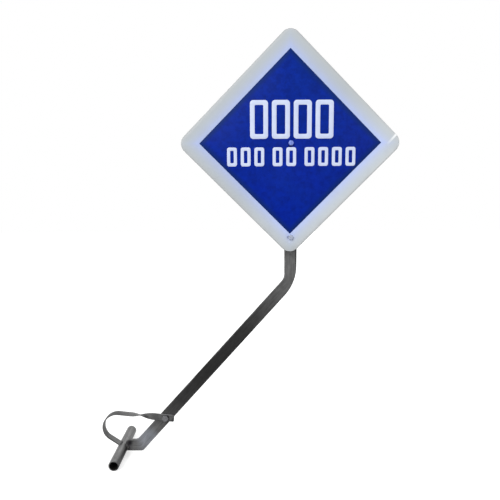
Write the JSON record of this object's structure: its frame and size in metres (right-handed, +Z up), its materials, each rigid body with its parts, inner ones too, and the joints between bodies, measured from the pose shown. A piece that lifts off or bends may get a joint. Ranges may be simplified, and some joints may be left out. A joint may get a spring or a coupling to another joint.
{
  "type": "men at work sign",
  "caption": "Square warning sign standing on one corner, bolted to a bent flat-bar post with a cross tube and a looped strap at its foot.",
  "frame": {"origin": "middle of the cross tube's bore, on the mid-plane of the post's flat bar", "axes": "-Y is the way the sign faces and runs out of the bore's near end, +Z is up along the sign, +X is the way the post leans"},
  "size_m": [0.734, 0.168, 1.0377],
  "materials": {
    "plate_aluminium": "mill finish sheet, faint rolling lines",
    "white_sheeting": "white reflective sheeting, greyed at its outer edge",
    "blue_film": "blue overlay film, satin gloss",
    "post_steel": "dark mill scale steel, darker along the middle",
    "tube_steel": "bare drawn tube, dull",
    "strap_steel": "bare strip steel, dull",
    "weld_metal": "rippled weld bead, heat darkened",
    "plated_steel": "zinc plated, dulled"
  },
  "bodies": {
    "root": {"sign_plate": "plate_aluminium", "white_sheet": "white_sheeting", "blue_field": "blue_film", "post": "post_steel", "cross_tube": "tube_steel", "foot_weld": "weld_metal", "strap": "strap_steel", "strap_weld": "weld_metal", "strap_bolt": "plated_steel", "strap_washer": "plated_steel", "strap_lock_washer": "plated_steel", "strap_nut": "plated_steel", "centre_bolt": "plated_steel", "centre_washer": "plated_steel", "centre_lock_washer": "plated_steel", "centre_nut": "plated_steel", "lower_bolt": "plated_steel", "lower_washer": "plated_steel", "lower_lock_washer": "plated_steel", "lower_nut": "plated_steel"}
  },
  "joints": []
}
